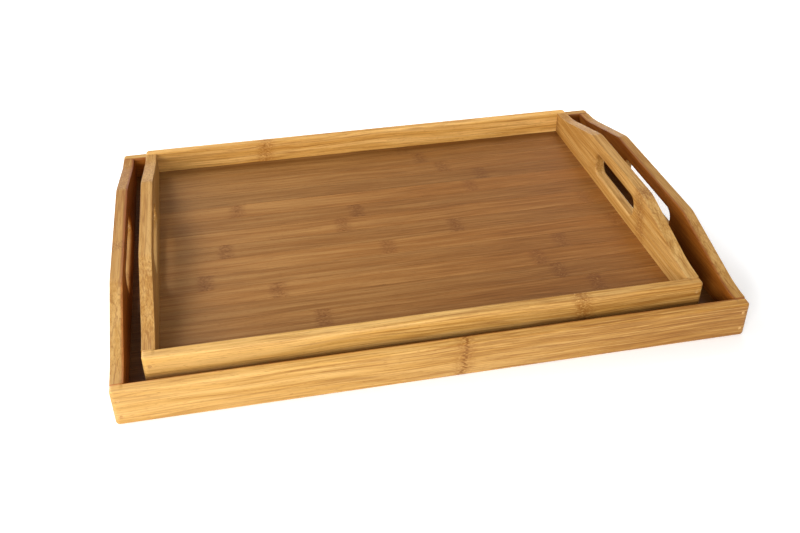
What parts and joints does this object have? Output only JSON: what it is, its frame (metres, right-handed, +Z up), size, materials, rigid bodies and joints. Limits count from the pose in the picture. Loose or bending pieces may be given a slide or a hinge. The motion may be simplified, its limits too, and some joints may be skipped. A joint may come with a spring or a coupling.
{
  "type": "nesting serving tray set",
  "caption": "Shallow rectangular wooden serving tray with raised end handles cut through by hand slots, holding a smaller matching tray that lifts out of it.",
  "frame": {"origin": "centre of the large tray's underside", "axes": "+X along the long rails towards the right-hand handle, +Y towards the back rail, +Z up, the way the small tray lifts out"},
  "size_m": [0.45, 0.3314, 0.0577],
  "materials": {
    "rail_bamboo": "satin clear lacquer over honey bamboo, grain along the rail",
    "handle_board_bamboo": "satin clear lacquer over honey bamboo, grain along the board",
    "floor_strip_light": "satin lacquer over toasted bamboo strips, the lighter ones",
    "floor_strip_dark": "satin lacquer over toasted bamboo strips, the darker ones",
    "pin_bamboo": "end grain, sanded flush and lacquered"
  },
  "bodies": {
    "large_tray": {"large_front_rail": "rail_bamboo", "large_back_rail": "rail_bamboo", "large_left_handle_board": "handle_board_bamboo", "large_right_handle_board": "handle_board_bamboo", "large_corner_pins": "pin_bamboo", "large_floor_strip_01": "floor_strip_light", "large_floor_strip_02": "floor_strip_dark", "large_floor_strip_03": "floor_strip_light", "large_floor_strip_04": "floor_strip_dark", "large_floor_strip_05": "floor_strip_light", "large_floor_strip_06": "floor_strip_dark", "large_floor_strip_07": "floor_strip_light", "large_floor_strip_08": "floor_strip_dark", "large_floor_strip_09": "floor_strip_light", "large_floor_strip_10": "floor_strip_dark", "large_floor_strip_11": "floor_strip_light", "large_floor_strip_12": "floor_strip_dark", "large_floor_strip_13": "floor_strip_light", "large_floor_strip_14": "floor_strip_dark", "large_floor_strip_15": "floor_strip_light", "large_floor_strip_16": "floor_strip_dark"},
    "small_tray": {"small_front_rail": "rail_bamboo", "small_back_rail": "rail_bamboo", "small_left_handle_board": "handle_board_bamboo", "small_right_handle_board": "handle_board_bamboo", "small_corner_pins": "pin_bamboo", "small_floor_strip_01": "floor_strip_light", "small_floor_strip_02": "floor_strip_dark", "small_floor_strip_03": "floor_strip_light", "small_floor_strip_04": "floor_strip_dark", "small_floor_strip_05": "floor_strip_light", "small_floor_strip_06": "floor_strip_dark", "small_floor_strip_07": "floor_strip_light", "small_floor_strip_08": "floor_strip_dark", "small_floor_strip_09": "floor_strip_light", "small_floor_strip_10": "floor_strip_dark", "small_floor_strip_11": "floor_strip_light", "small_floor_strip_12": "floor_strip_dark", "small_floor_strip_13": "floor_strip_light", "small_floor_strip_14": "floor_strip_dark", "small_floor_strip_15": "floor_strip_light"}
  },
  "joints": [
    {"name": "small_tray_lift", "type": "slide", "parent": "large_tray", "child": "small_tray", "axis": [0, 0, 1], "range_m": [0, 0.06]}
  ]
}
